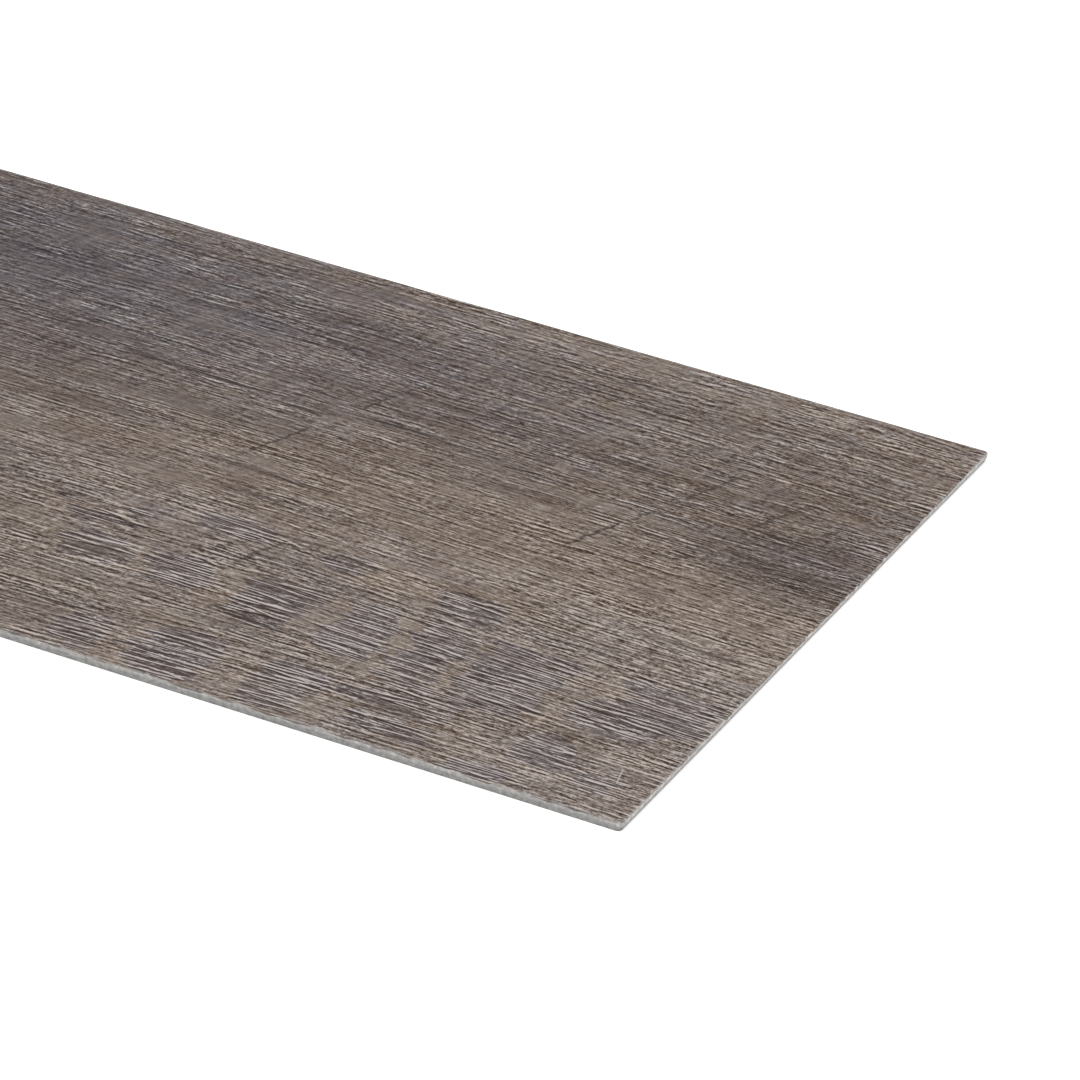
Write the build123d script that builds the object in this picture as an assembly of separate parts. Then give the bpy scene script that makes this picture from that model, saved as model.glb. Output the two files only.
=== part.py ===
from build123d import *
import os

# Peel and stick vinyl plank: one flat sheet of filled PVC, pressed into a single piece and punched out
# with a cutting die. The grain runs along X, the width lies along Y, and the printed face looks up +Z.
# The origin is the middle of the sticky underside, which is the face that lies on the floor.

# Driving dimensions, in millimetres
PLANK_LENGTH = 914.4
PLANK_WIDTH = 152.4
PLANK_THICKNESS = 2.0

# The die leaves small round corners in plan
CORNER_RADIUS = 1.0

# The die drags the printed face over at its rim, which leaves a small round edge there
ROLLOVER_RADIUS = 0.25

# Below an upright band the cut leans in under the face, so that butted planks close tight at the top.
# The short ends lean in further than the long sides.
UNDERCUT_HEIGHT = 1.2
END_UNDERCUT = 0.55
SIDE_UNDERCUT = 0.16


def plank_outline(end_inset=0, side_inset=0):
    """The plank's outline in plan, drawn in from its full size at the ends and along the sides."""
    return RectangleRounded(
        PLANK_LENGTH - 2 * end_inset,
        PLANK_WIDTH - 2 * side_inset,
        CORNER_RADIUS,
    )


def cut_wall():
    """The upright band of the cut, from the undercut to the printed face, with its rolled rim."""
    band = extrude(
        Plane.XY.offset(UNDERCUT_HEIGHT) * plank_outline(),
        amount=PLANK_THICKNESS - UNDERCUT_HEIGHT,
    )
    face_rim = band.faces().sort_by(Axis.Z)[-1].edges()
    return fillet(face_rim, ROLLOVER_RADIUS)


def undercut():
    """The lower band, which leans in from the upright cut to the smaller underside."""
    return loft(
        [
            plank_outline(END_UNDERCUT, SIDE_UNDERCUT),
            Plane.XY.offset(UNDERCUT_HEIGHT) * plank_outline(),
        ],
        ruled=True,
    )


def make_plank():
    """The whole plank as one solid."""
    return cut_wall() + undercut()


os.makedirs("parts", exist_ok=True)
export_step(make_plank(), "parts/plank.step")
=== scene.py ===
"""Peel and stick vinyl plank: its printed and embossed face, its die-cut edges and its paper back.

The plank lies flat, with its grain along X and its printed face up. Lengths are in metres, except where a
name ends in _mm. The print and the embossing are drawn from the same grain, so that pores lie in grooves.
"""

import logging
import math
from dataclasses import dataclass
from enum import Enum
from typing import Any

import bpy
import numpy as np
from mathutils import Matrix, Vector


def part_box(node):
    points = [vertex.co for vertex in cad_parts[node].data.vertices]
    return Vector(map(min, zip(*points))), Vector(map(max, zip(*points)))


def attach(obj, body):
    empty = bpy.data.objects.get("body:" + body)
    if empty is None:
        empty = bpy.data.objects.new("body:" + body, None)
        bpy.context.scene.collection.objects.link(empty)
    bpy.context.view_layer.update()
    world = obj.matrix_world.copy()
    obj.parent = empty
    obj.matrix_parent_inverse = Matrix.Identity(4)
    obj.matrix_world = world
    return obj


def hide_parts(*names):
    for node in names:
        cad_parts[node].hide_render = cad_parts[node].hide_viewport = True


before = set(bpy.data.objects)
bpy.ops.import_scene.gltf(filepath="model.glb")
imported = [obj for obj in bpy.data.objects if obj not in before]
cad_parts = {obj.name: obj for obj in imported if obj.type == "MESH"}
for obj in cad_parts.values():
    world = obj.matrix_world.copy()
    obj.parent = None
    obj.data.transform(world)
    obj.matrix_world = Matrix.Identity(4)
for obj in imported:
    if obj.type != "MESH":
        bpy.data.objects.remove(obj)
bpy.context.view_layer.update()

MM = 0.001
log = logging.getLogger("vinyl_plank")

Socket = bpy.types.NodeSocket
Tree = bpy.types.NodeTree
Stops = tuple[tuple[float, str], ...]
MATH, MIX, SPAN = "ShaderNodeMath", "ShaderNodeMix", "ShaderNodeMapRange"
SMOOTH = {"interpolation_type": "SMOOTHSTEP"}

# A mix node's inputs by number: the share, two plain values and two colours
SHARE, VALUE_A, VALUE_B, COLOUR_A, COLOUR_B = 0, 2, 3, 6, 7
MIX_COLOUR = {"out": 2, "data_type": "RGBA"}

# What a layer of fibres varies about
FIBRE_MEAN = 0.5

# Where across the +X end its paler rim and painted foot shade are least; they are most near the corners
END_MIDDLE_MM = 15.0


def linear_colour(hex_colour: str) -> tuple[float, float, float, float]:
    """Turn an sRGB hex colour into the linear colour that shaders take.

    Args:
        hex_colour: six hex digits after a hash sign.

    Returns:
        Linear red, green and blue, and an alpha of 1.
    """
    shares = [int(hex_colour[i:i + 2], 16) / 255 for i in (1, 3, 5)]
    linear = [c / 12.92 if c <= 0.04045 else ((c + 0.055) / 1.055) ** 2.4 for c in shares]
    return (*linear, 1.0)


def add_node(
    tree: Tree, kind: str, feeds: dict | tuple = (), out: int | str = 0, **settings: Any
) -> Socket | None:
    """Add a node with its settings and links.

    Args:
        tree: the tree that takes the node.
        kind: the node's type name.
        feeds: a value or socket for each input, in order, or by the input's name or number.
        out: the name or number of the output that is wanted.
        settings: the node's own settings; stops gives a colour ramp's places and hex colours.

    Returns:
        The wanted output of the new node, or None where it has no outputs.
    """
    node = tree.nodes.new(kind)
    for place, colour in settings.pop("stops", ()):
        ramp = node.color_ramp.elements
        stop = ramp[0] if place == 0 else ramp[-1] if place == 1 else ramp.new(place)
        stop.color = linear_colour(colour)
    for name, value in settings.items():
        setattr(node, name, value)
    for key, value in feeds.items() if isinstance(feeds, dict) else enumerate(feeds):
        if isinstance(value, Socket):
            tree.links.new(value, node.inputs[key])
        else:
            node.inputs[key].default_value = value
    return node.outputs[out] if node.outputs else None


class TreeUse(Enum):
    """What a node tree is for, with the node that tells it where on the plank it is."""

    FINISH = ("ShaderNodeTexCoord", "Object")
    RELIEF = ("GeometryNodeInputPosition", "Position")

    def place_mm(self, tree: Tree) -> tuple[Socket, Socket, Socket]:
        """Find where on the plank the tree is.

        Args:
            tree: the tree that asks.

        Returns:
            The place along the plank, across it and up from its underside, in millimetres.
        """
        kind, out = self.value
        spot = add_node(tree, kind, out=out)
        scaled = add_node(tree, "ShaderNodeVectorMath", {0: spot, "Scale": 1 / MM}, operation="SCALE")
        parts = add_node(tree, "ShaderNodeSeparateXYZ", (scaled,)).node.outputs
        return parts[0], parts[1], parts[2]


@dataclass(frozen=True)
class Fade:
    """A change from one level to another, while something else goes from start to end.

    Attributes:
        start: where the change starts.
        end: where it ends, above or below its start.
        before: the level up to its start.
        after: the level past its end.
    """

    start: float
    end: float
    before: float = 0.0
    after: float = 1.0

    def of(self, value: Socket) -> dict[str, Socket | float]:
        """Give a map range's inputs, for the value that the change goes along with."""
        ends = {"From Min": self.start, "From Max": self.end, "To Min": self.before, "To Max": self.after}
        return {"Value": value, **ends}


@dataclass(frozen=True)
class Fibres:
    """One layer of grain: fibres of a usual length and spacing.

    Attributes:
        length_mm: how far a fibre runs along the grain.
        spacing_mm: how far it is from one fibre to the next.
        shift: moves the layer, so that no two layers are alike.
        detail: how many finer layers are folded in, each half as large.
        crisp: the share of the next fibre that is taken away, which parts the fibres.
        lag: how far off the next fibre is, in spacings.
        ridge: above 0, the fibres are thin ridges, and this is how wide they are.
    """

    length_mm: float
    spacing_mm: float
    shift: float
    detail: float = 0.0
    crisp: float = 0.0
    lag: float = 0.9
    ridge: float = 0.0

    def draw(self, tree: Tree, along: Socket, across: Socket) -> Socket:
        """Draw the layer.

        Args:
            tree: the tree that draws it.
            along: the place along the fibres, in millimetres.
            across: the place across the fibres, in millimetres.

        Returns:
            A value from 0 to 1 that varies about 0.5.
        """
        feeds = (along, 1 / self.length_mm, self.shift)
        u = add_node(tree, MATH, feeds, operation="MULTIPLY_ADD")
        feeds = (across, 1 / self.spacing_mm, self.shift)
        v = add_node(tree, MATH, feeds, operation="MULTIPLY_ADD")
        spot = add_node(tree, "ShaderNodeCombineXYZ", (u, v))
        sides = []
        for step in (0.0, self.lag) if self.crisp else (0.0,):
            moved = add_node(tree, "ShaderNodeVectorMath", (spot, (0.0, step, 0.0)), operation="ADD")
            feeds = {"Vector": moved, "Scale": 1.0, "Detail": self.detail, "Roughness": 0.5}
            side = add_node(tree, "ShaderNodeTexNoise", feeds, noise_dimensions="2D")
            if self.ridge:
                off = add_node(tree, MATH, (side, FIBRE_MEAN), operation="SUBTRACT")
                off = add_node(tree, MATH, (off,), operation="ABSOLUTE")
                side = add_node(tree, SPAN, Fade(self.ridge, 0.0).of(off), **SMOOTH)
            sides.append(side)
        if not self.crisp:
            return sides[0]
        taken = add_node(tree, MATH, (sides[1], -self.crisp, self.crisp / 2), operation="MULTIPLY_ADD")
        return add_node(tree, MATH, (sides[0], taken), operation="ADD")


@dataclass(frozen=True)
class OakGrain:
    """The run of the grain, which the embossing plate and the print share.

    Attributes:
        sway: slow bends of the grain.
        sway_mm: how far they carry it sideways.
        ripple: small waves of single fibres.
        ripple_mm: how far they carry a fibre sideways, from the plank's middle line to its far side.
        pores: long open pores.
        vessels: shorter pores between them.
        groove: how deep both together are pressed.
    """

    sway: Fibres = Fibres(210.0, 70.0, 3.7)
    sway_mm: float = 9.0
    ripple: Fibres = Fibres(16.0, 4.0, 11.3, 1.0)
    ripple_mm: Fade = Fade(0.0, 35.0, 0.4, 1.1)
    pores: Fibres = Fibres(34.0, 0.66, 5.1, crisp=0.5)
    vessels: Fibres = Fibres(11.0, 0.60, 17.9, crisp=0.5)
    groove: Fade = Fade(0.98, 0.68)

    def flow(self, tree: Tree, x: Socket, y: Socket) -> Socket:
        """Bend the grain's run.

        Args:
            tree: the tree that draws it.
            x: the place along the plank, in millimetres.
            y: the place across the plank, in millimetres.

        Returns:
            The place across the grain, in millimetres.
        """
        ripple_mm = add_node(tree, SPAN, self.ripple_mm.of(y))
        for layer, reach in ((self.sway, self.sway_mm), (self.ripple, ripple_mm)):
            lean = add_node(tree, MATH, (layer.draw(tree, x, y), FIBRE_MEAN), operation="SUBTRACT")
            y = add_node(tree, MATH, (lean, reach, y), operation="MULTIPLY_ADD")
        return y

    def grooves(self, tree: Tree, x: Socket, grain: Socket) -> Socket:
        """Press the pores into the face.

        Args:
            tree: the tree that draws them.
            x: the place along the plank, in millimetres.
            grain: the place across the grain, in millimetres.

        Returns:
            How deep the face is pressed, from 0 to 1.
        """
        long = self.pores.draw(tree, x, grain)
        short = self.vessels.draw(tree, x, grain)
        both = add_node(tree, MATH, (long, short), operation="ADD")
        return add_node(tree, SPAN, self.groove.of(both), **SMOOTH)


@dataclass(frozen=True)
class TonePatch:
    """A soft oval of the print that is lighter, darker, warmer or cooler than the rest.

    Attributes:
        x_mm: its middle along the plank.
        y_mm: its middle across the plank.
        length_mm: half its length.
        width_mm: half its width.
        light: how much lighter it is; less than 0 is darker.
        warm: how much more tan it is; less than 0 is greyer.
    """

    x_mm: float
    y_mm: float
    length_mm: float
    width_mm: float
    light: float
    warm: float

    def share(self, x: np.ndarray, y: np.ndarray) -> np.ndarray:
        """How much of the patch there is at each place, from 0 to 1."""
        return np.exp(-((x - self.x_mm) / self.length_mm) ** 2 - ((y - self.y_mm) / self.width_mm) ** 2)


@dataclass(frozen=True)
class FleckBand:
    """A run of dark ray flecks, side by side along the grain.

    Attributes:
        start_mm: where the run starts along the plank.
        end_mm: where it ends.
        y_mm: its middle across the plank.
        width_mm: half its width.
        depth: how dark it is, up to 1.
        end_fade_mm: how far its ends take to fade out.
        side_fade_mm: how far its sides take to fade out.
    """

    start_mm: float
    end_mm: float
    y_mm: float
    width_mm: float
    depth: float
    end_fade_mm: float = 6.0
    side_fade_mm: float = 3.5

    def share(self, x: np.ndarray, y: np.ndarray) -> np.ndarray:
        """How dark the band makes the print.

        Args:
            x: places along the plank, in millimetres.
            y: places across the plank, in millimetres.

        Returns:
            The darkness at each place, from 0 to the band's depth.
        """
        middle, half = (self.start_mm + self.end_mm) / 2, (self.end_mm - self.start_mm) / 2
        along = np.clip((half - np.abs(x - middle)) / self.end_fade_mm + 0.5, 0, 1)
        across = np.clip((self.width_mm - np.abs(y - self.y_mm)) / self.side_fade_mm + 0.5, 0, 1)
        return self.depth * along * across


@dataclass(frozen=True)
class RibRow:
    """A row of tan ribs across the grain, each of which parts one ray fleck from the next.

    Attributes:
        low_mm: the row's lower end across the plank.
        high_mm: its upper end.
        paths_mm: points on each rib's middle line, along and across the plank, from its lower end up.
    """

    low_mm: float
    high_mm: float
    paths_mm: tuple[tuple[tuple[float, float], ...], ...]

    def count(self, x: np.ndarray, y: np.ndarray) -> np.ndarray:
        """Count the ribs up to each place, so that a whole number is the middle of a rib."""
        lines = [np.interp(y, *np.array(path).T[::-1]) for path in self.paths_mm]
        return sum(np.clip((x - left) / (right - left), 0, 1) for left, right in zip(lines, lines[1:]))


@dataclass(frozen=True)
class SawLines:
    """The lines that a saw leaves across the grain.

    Attributes:
        angle_deg: their angle to the grain.
        pitch_mm: how far it is from one to the next.
        start_mm: where they are counted from.
    """

    angle_deg: float = 65.0
    pitch_mm: float = 16.4
    start_mm: float = 295.4

    def turn(self) -> tuple[float, float]:
        """Give the cosine and the sine of the lines' angle."""
        angle = math.radians(self.angle_deg)
        return math.cos(angle), math.sin(angle)

    def place(self, tree: Tree, x: Socket, y: Socket) -> tuple[Socket, Socket]:
        """Turn a place on the plank into one on the lines.

        Args:
            tree: the tree that asks.
            x: the place along the plank, in millimetres.
            y: the place across the plank, in millimetres.

        Returns:
            The place down the lines and the place beside them, in millimetres.
        """
        cosine, sine = self.turn()
        turned = []
        for along, across in ((cosine, sine), (sine, -cosine)):
            part = add_node(tree, MATH, (y, across), operation="MULTIPLY")
            turned.append(add_node(tree, MATH, (x, along, part), operation="MULTIPLY_ADD"))
        return turned[0], turned[1]


@dataclass(frozen=True)
class SawScar:
    """A stretch of a saw line that shows as a dark scar across the grain.

    Attributes:
        x_mm: its middle along the plank.
        y_mm: its middle across the plank.
        reach_mm: half its length.
        depth: how dark it is, up to 1.
        end_fade_mm: how far its ends take to fade out.
        side_fade_mm: how far it takes to fade out, halfway to the next saw line.
    """

    x_mm: float
    y_mm: float
    reach_mm: float
    depth: float
    end_fade_mm: float = 3.0
    side_fade_mm: float = 2.0

    def share(self, x: np.ndarray, y: np.ndarray, lines: SawLines) -> np.ndarray:
        """How far the scar lets its saw line show.

        Args:
            x: places along the plank, in millimetres.
            y: places across the plank, in millimetres.
            lines: the saw lines.

        Returns:
            The line's darkness at each place, from 0 to the scar's depth.
        """
        cosine, sine = lines.turn()
        dx, dy = x - self.x_mm, y - self.y_mm
        along, across = dx * cosine + dy * sine, dx * sine - dy * cosine
        length = np.clip((self.reach_mm - np.abs(along)) / self.end_fade_mm + 0.5, 0, 1)
        width = np.clip((lines.pitch_mm / 2 - np.abs(across)) / self.side_fade_mm, 0, 1)
        return self.depth * length * width


@dataclass(frozen=True)
class GrainCheck:
    """A thin dark check, or drying crack, along the grain.

    Attributes:
        x_mm: its middle along the plank.
        y_mm: its place across the plank.
        reach_mm: half its length.
        rise_mm: how far it climbs across the grain from end to end.
        depth: how dark it is, up to 1.
        end_fade_mm: how far its ends take to fade out.
        spread: how far out it has faded away, in half widths.
    """

    x_mm: float
    y_mm: float
    reach_mm: float
    rise_mm: float = 0.0
    depth: float = 1.0
    end_fade_mm: float = 5.0
    spread: float = 1.5

    def share(self, x: np.ndarray, y: np.ndarray, width_mm: float) -> np.ndarray:
        """Args:
            x: places along the plank, in millimetres.
            y: places across the plank, in millimetres.
            width_mm: half the check's width.
        """
        dx = x - self.x_mm
        away = np.abs(y - self.y_mm - self.rise_mm * dx / self.reach_mm / 2)
        length = np.clip((self.reach_mm - np.abs(dx)) / self.end_fade_mm, 0, 1)
        width = np.clip(self.spread - away / width_mm, 0, 1)
        return self.depth * length * width


@dataclass(frozen=True)
class Scratch:
    """A thin pale scratch across the grain, where something sharp has dragged over the wear layer.

    Attributes:
        x_mm: its middle along the plank.
        y_mm: its middle across the plank.
        reach_mm: half its length, measured across the plank.
        slant: how far it runs along the plank for each millimetre across.
        width_mm: how wide it is.
        depth: how pale it is, up to 1.
    """

    x_mm: float
    y_mm: float
    reach_mm: float
    slant: float
    width_mm: float
    depth: float

    def draw(self, tree: Tree, x: Socket, y: Socket) -> Socket:
        """Draw the scratch.

        Args:
            tree: the tree that draws it.
            x: the place along the plank, in millimetres.
            y: the place across the plank, in millimetres.

        Returns:
            How pale the scratch makes the place, from 0 to its depth.
        """
        leant = add_node(tree, MATH, (y, -self.slant, x), operation="MULTIPLY_ADD")
        middle = self.x_mm - self.slant * self.y_mm
        on_line = add_node(tree, MATH, (leant, middle, self.width_mm / 2), operation="COMPARE")
        in_reach = add_node(tree, MATH, (y, self.y_mm, self.reach_mm), operation="COMPARE")
        pale = add_node(tree, MATH, (on_line, in_reach), operation="MULTIPLY")
        return add_node(tree, MATH, (pale, self.depth), operation="MULTIPLY")


@dataclass
class OakPrint:
    """The printed picture: where a rough-sawn, limed oak board is tan, grey, flecked, scarred and checked.

    Attributes:
        length_mm: the plank's length.
        width_mm: the plank's width.
        seed: settles the features on the part of the plank that the listed ones don't cover.
        placed_from_mm: at the far edge, the listed features start here and run to the +X end.
        placed_slant: how much further along they start for each millimetre towards the near edge.
        saw: the saw lines, which show in the scars.
        rib_pitch_mm: how far it is, more or less, from one tan rib to the next.
        rib_spread: the least and the most that the next rib is away, as a share of that.
        rib_reach_mm: where across the plank the ribs start and end that are not listed.
        rib_step_mm: how far it is from one point on such a rib to the next.
        rib_wander_mm: how far such a point may lie off the rib's line.
        more_tones: how many more patches of tone there are.
        more_scars: how many more saw scars there are.
        more_checks: how many more checks there are.
        more_flecks: the middle, the wander and the share filled of more rows of flecks.
        tones: patches of tone.
        flecks: runs of ray flecks.
        rib_rows: the tan ribs between the flecks.
        scars: saw scars.
        checks: checks along the grain.
        scratches: scratches in the face.
    """

    length_mm: float
    width_mm: float
    seed: int = 20
    placed_from_mm: float = 195.0
    placed_slant: float = 0.62
    saw: SawLines = SawLines()
    rib_pitch_mm: float = 19.0
    rib_spread: tuple[float, float] = (0.75, 1.3)
    rib_reach_mm: tuple[float, float] = (-76.0, -30.0)
    rib_step_mm: float = 6.5
    rib_wander_mm: float = 2.5
    more_tones: int = 44
    more_scars: int = 34
    more_checks: int = 60
    more_flecks: tuple[tuple[float, float, float], ...] = ((-42, 3, 0.9), (-65, 3, 0.85), (48, 9, 0.25))
    tones: tuple[TonePatch, ...] = (
        TonePatch(245, 50, 100, 44, -0.042, -0.52),
        TonePatch(300, 42, 190, 32, -0.07, 0.0),
        TonePatch(238, 57, 50, 14, -0.045, -0.06),
        TonePatch(260, 75, 100, 8, -0.02, 0.14),
        TonePatch(410, 74, 110, 8, 0.085, 0.05),
        TonePatch(440, 62, 60, 26, 0.0, 0.07),
        TonePatch(347, 57, 14, 6, 0.03, 0.0),
        TonePatch(340, 33, 26, 7, -0.04, 0.03),
        TonePatch(420, 33, 24, 7, -0.035, 0.05),
        TonePatch(445, 17.5, 21, 9.5, -0.20, -0.32),
        TonePatch(262, 20, 30, 12, -0.05, 0.0),
        TonePatch(375, 2, 130, 21, 0.02, 0.27),
        TonePatch(440, -10, 60, 15, 0.06, 0.05),
        TonePatch(345, -19, 100, 7, 0.015, -0.05),
        TonePatch(390, -45, 150, 35, 0.045, 0.0),
        TonePatch(310, -55, 40, 30, 0.0, 0.06),
        TonePatch(450, -72, 40, 10, 0.07, 0.0),
        TonePatch(422, 57, 14, 6, 0.075, 0.0),
        TonePatch(307, 32, 25, 6, 0.05, 0.02),
        TonePatch(452, 50, 14, 30, 0.04, 0.0),
        TonePatch(270, 12, 25, 10, -0.04, 0.0),
        TonePatch(345, 46, 35, 7, 0.0, -0.10),
        TonePatch(385, -71, 34, 6, 0.085, 0.0),
        TonePatch(381, -23.5, 9, 4.5, 0.08, 0.25),
        TonePatch(418, -66, 9, 4, 0.02, 0.20),
        TonePatch(367, -67, 5, 6, 0.05, 0.18),
        TonePatch(452, -55, 6, 6, 0.06, 0.20),
        TonePatch(428, -49, 4, 6, 0.05, 0.12),
        TonePatch(361, -43, 10, 8, -0.06, 0.0),
        TonePatch(396, -26, 8, 5, 0.04, 0.06),
        TonePatch(299, -30, 18, 7, -0.03, 0.0),
        TonePatch(296, -6, 13, 6, -0.045, 0.0),
        TonePatch(320, -6, 13, 6, 0.04, 0.0),
        TonePatch(294, -19, 13, 6, 0.04, 0.0),
        TonePatch(319, -57, 13, 6, 0.035, 0.0),
        TonePatch(450, 33, 12, 5, 0.03, 0.0),
        TonePatch(446, 5, 14, 5, 0.05, 0.0),
        TonePatch(353, -68, 9, 7, -0.03, 0.0),
        TonePatch(433, -62, 6, 5, -0.03, 0.0),
        TonePatch(262, 65, 45, 12, -0.028, 0.0),
        TonePatch(295, 8, 35, 16, -0.012, 0.0),
        TonePatch(366, -30, 12, 5, -0.03, 0.0),
        TonePatch(345, -32, 60, 6, -0.018, 0.0),
        TonePatch(275, 44, 22, 6, 0.03, 0.0),
        TonePatch(400, -58, 12, 6, 0.0, 0.13),
        TonePatch(322, -45, 12, 8, 0.02, 0.08),
    )
    flecks: tuple[FleckBand, ...] = (
        FleckBand(350, 370, -42, 8.5, 1.0),
        FleckBand(374, 388, -43, 9.5, 1.0),
        FleckBand(389, 403, -42.5, 9.5, 1.0),
        FleckBand(387, 404, -26, 5.5, 0.85),
        FleckBand(404, 426, -44, 11.5, 1.0),
        FleckBand(431, 449, -41.5, 10.0, 1.0),
        FleckBand(447, 460, -38, 7.0, 0.8),
        FleckBand(311, 347, -41.5, 5.5, 0.75),
        FleckBand(301, 320, -31, 3.5, 0.6),
        FleckBand(316, 328, -28, 6.0, 0.55),
        FleckBand(328, 350, -22, 2.8, 0.9),
        FleckBand(362, 376, -23, 3.6, 1.0),
        FleckBand(343, 362, -67, 8.5, 1.0),
        FleckBand(371, 387, -67, 8.0, 1.0),
        FleckBand(389, 412, -59, 6.0, 0.9),
        FleckBand(391, 413, -69, 3.0, 0.8),
        FleckBand(427, 438, -62, 5.5, 1.0),
        FleckBand(441, 451, -67, 3.5, 0.8),
        FleckBand(328, 340, -69, 6.0, 0.9),
        FleckBand(415, 432, -74, 3.0, 0.7),
    )
    rib_rows: tuple[RibRow, ...] = (
        RibRow(-55, 76.2, (
            ((306, -52), (304, -42), (307, -35), (300, -27)),
            ((330, -52), (331, -42), (327, -33), (330, -24)),
            ((347, -52), (352, -45), (350, -39), (347, -33), (351, -24)),
            ((378, -55), (370, -48), (371, -44), (374, -40), (374, -34), (376, -24)),
            ((387, -55), (390, -51), (389, -47), (390, -42), (388, -36), (387, -31), (386, -24)),
            ((404, -54), (403, -46), (404, -38), (405, -30), (406, -24)),
            ((431, -55), (427, -50), (426, -45), (430, -41), (433, -36), (430, -30), (433, -24)),
            ((452, -55), (451, -50), (459, -44), (462, -38)),
            ((482, -53), (484, -38)),
        )),
        RibRow(-76.2, -55, (
            ((322, -76), (320, -66), (324, -57)),
            ((341, -76), (341, -68), (345, -57)),
            ((368, -76), (365, -69), (368, -63), (364, -57)),
            ((389, -76), (388, -68), (386, -62), (388, -56)),
            ((414, -76), (419, -68), (420, -65), (425, -61), (424, -56)),
            ((437, -76), (440, -69), (442, -62), (437, -57)),
            ((466, -76), (464, -56)),
        )),
    )
    scars: tuple[SawScar, ...] = (
        SawScar(406, 13, 11.0, 1.0),
        SawScar(417, 38, 8.0, 0.85),
        SawScar(431, 32, 8.0, 0.85),
        SawScar(330, 9.5, 9.5, 0.9),
        SawScar(343, 37, 10.0, 0.9),
        SawScar(362, 41, 7.0, 0.55),
        SawScar(430, 17, 5.0, 0.8),
        SawScar(393, -16, 3.5, 0.5),
        SawScar(349, -27, 6.0, 0.7),
        SawScar(390, -57, 4.0, 0.6),
        SawScar(282, 17, 5.0, 0.65),
        SawScar(448, -46, 4.5, 0.6),
        SawScar(424, -60, 3.5, 0.5),
    )
    checks: tuple[GrainCheck, ...] = (
        GrainCheck(301, 25.2, 16.0, -0.5),
        GrainCheck(350, 26.5, 11.0, 0.2),
        GrainCheck(329, 23.2, 8.0),
        GrainCheck(401, 36.0, 8.0),
        GrainCheck(335, -1.8, 18.0, -1.4, 0.8),
        GrainCheck(341, -9.8, 15.0, -0.5, 0.6),
        GrainCheck(442, -16.8, 15.0, 0.0, 0.8),
        GrainCheck(393, -27.1, 12.0, 0.0, 0.6),
        GrainCheck(345, -20.3, 18.0, 0.8, 0.6),
        GrainCheck(364, -50.4, 10.0, 0.3, 0.6),
        GrainCheck(408, -71.4, 10.0, 0.6, 0.8),
    )
    scratches: tuple[Scratch, ...] = (Scratch(449.0, -62.2, 2.3, -0.25, 0.32, 0.6),)

    def __post_init__(self) -> None:
        """Fill the rest of the plank with more of the same, settled by the seed."""
        start, half = -self.length_mm / 2, self.width_mm / 2
        pick = np.random.default_rng(self.seed)
        for _ in range(self.more_tones):
            y = pick.uniform(-half, half)
            length, width = pick.uniform(40, 100), pick.uniform(8, 22)
            x = pick.uniform(start, self.placed_from(y) - length)
            light, warm = pick.normal(0, 0.038), pick.normal(0, 0.13)
            self.tones += (TonePatch(x, y, length, width, light, warm),)
        for _ in range(self.more_scars):
            y, reach = pick.uniform(-half, half), pick.uniform(3, 11)
            x = pick.uniform(start, self.placed_from(y) - reach)
            self.scars += (SawScar(x, y, reach, pick.uniform(0.3, 1.0)),)
        for _ in range(self.more_checks):
            y, reach = pick.uniform(-half, half), pick.uniform(7, 26)
            x = pick.uniform(start, self.placed_from(y) - reach)
            self.checks += (GrainCheck(x, y, reach, pick.uniform(-1.0, 1.0)),)
        for middle, spread, share in self.more_flecks:
            x, end = start, self.placed_from(middle)
            while x < end:
                run, y = pick.uniform(12, 26), middle + pick.uniform(-spread, spread)
                if pick.uniform() < share:
                    width, depth = pick.uniform(5, 10.5), pick.uniform(0.6, 1.0)
                    self.flecks += (FleckBand(x, min(x + run, end), y, width, depth),)
                x += run
        self.rib_rows = tuple(self.more_ribs(row, pick) for row in self.rib_rows)

    def more_ribs(self, row: RibRow, pick: np.random.Generator) -> RibRow:
        """Carry a row of ribs on to the plank's -X end.

        Args:
            row: the listed ribs.
            pick: settles the rest.

        Returns:
            The whole row.
        """
        paths, x = row.paths_mm, row.paths_mm[0][0][0]
        low, high = max(row.low_mm, self.rib_reach_mm[0]), min(row.high_mm, self.rib_reach_mm[1])
        wander = self.rib_wander_mm
        while x > -self.length_mm / 2 - self.rib_pitch_mm:
            x -= self.rib_pitch_mm * pick.uniform(*self.rib_spread)
            places = np.arange(low, high, self.rib_step_mm)
            path = tuple((x + pick.uniform(-wander, wander), y) for y in places)
            paths = (path, *paths)
        return RibRow(row.low_mm, row.high_mm, paths)

    def placed_from(self, y: float) -> float:
        """Find where along the plank the listed features start, for a place across it."""
        return self.placed_from_mm + self.placed_slant * (self.width_mm / 2 - y)

    def read(self, x: np.ndarray, y: np.ndarray, row_mm: float) -> dict[str, np.ndarray]:
        """Read the picture's layout.

        Args:
            x: places along the plank, in millimetres.
            y: places across the plank, in millimetres.
            row_mm: the spacing of the places across the plank.

        Returns:
            A value at each place for each thing that the print varies by.
        """
        light, warm, fleck, scars, checks = (np.zeros_like(x) for _ in range(5))
        for tone in self.tones:
            light += tone.light * tone.share(x, y)
            warm += tone.warm * tone.share(x, y)
        for band in self.flecks:
            fleck = np.maximum(fleck, band.share(x, y))
        for scar in self.scars:
            scars = np.maximum(scars, scar.share(x, y, self.saw))
        for check in self.checks:
            checks = np.maximum(checks, check.share(x, y, row_mm))
        lower, upper = sorted(self.rib_rows, key=lambda row: row.low_mm)
        ribs = np.where(y < upper.low_mm, lower.count(x, y), upper.count(x, y))
        return {"light": light, "warm": warm, "fleck": fleck, "ribs": ribs, "scars": scars, "checks": checks}


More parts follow.
